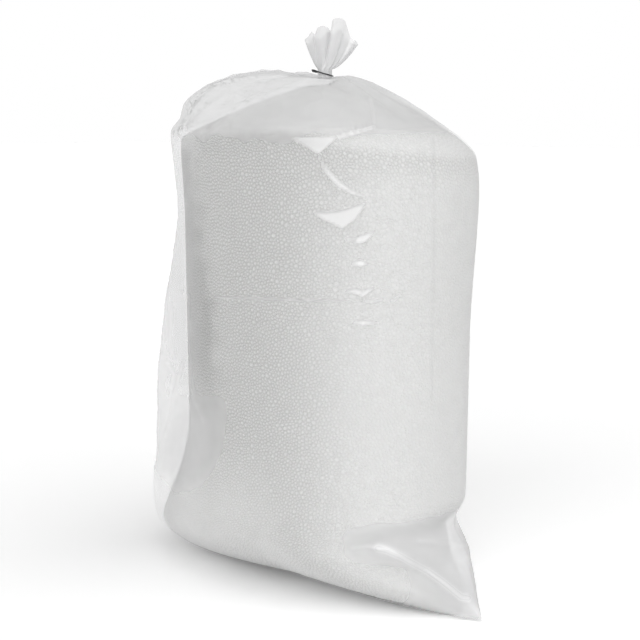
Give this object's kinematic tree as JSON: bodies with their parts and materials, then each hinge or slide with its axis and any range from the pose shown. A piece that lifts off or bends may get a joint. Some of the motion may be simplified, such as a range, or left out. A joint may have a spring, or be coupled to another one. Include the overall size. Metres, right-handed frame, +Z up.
{
  "type": "bag of bean bag filler",
  "caption": "Tall clear film bag full of small white foam beads, its mouth gathered into a ruffle by a black twisted wire tie; a refill for bean bags and loose packing.",
  "frame": {"origin": "on the floor, under the middle of the bag's outer box", "axes": "+Z up, +X along the bottom seal towards the pointed ear, -Y out of the front face"},
  "size_m": [0.6702, 0.378, 0.911],
  "materials": {
    "clear_film": "clear gloss polythene film",
    "foam_beads": "white expanded foam beads",
    "tie_coating": "black plastic coating on wire"
  },
  "bodies": {
    "root": {"film_bag": "clear_film", "bead_fill": "foam_beads", "twist_tie": "tie_coating"}
  },
  "joints": []
}
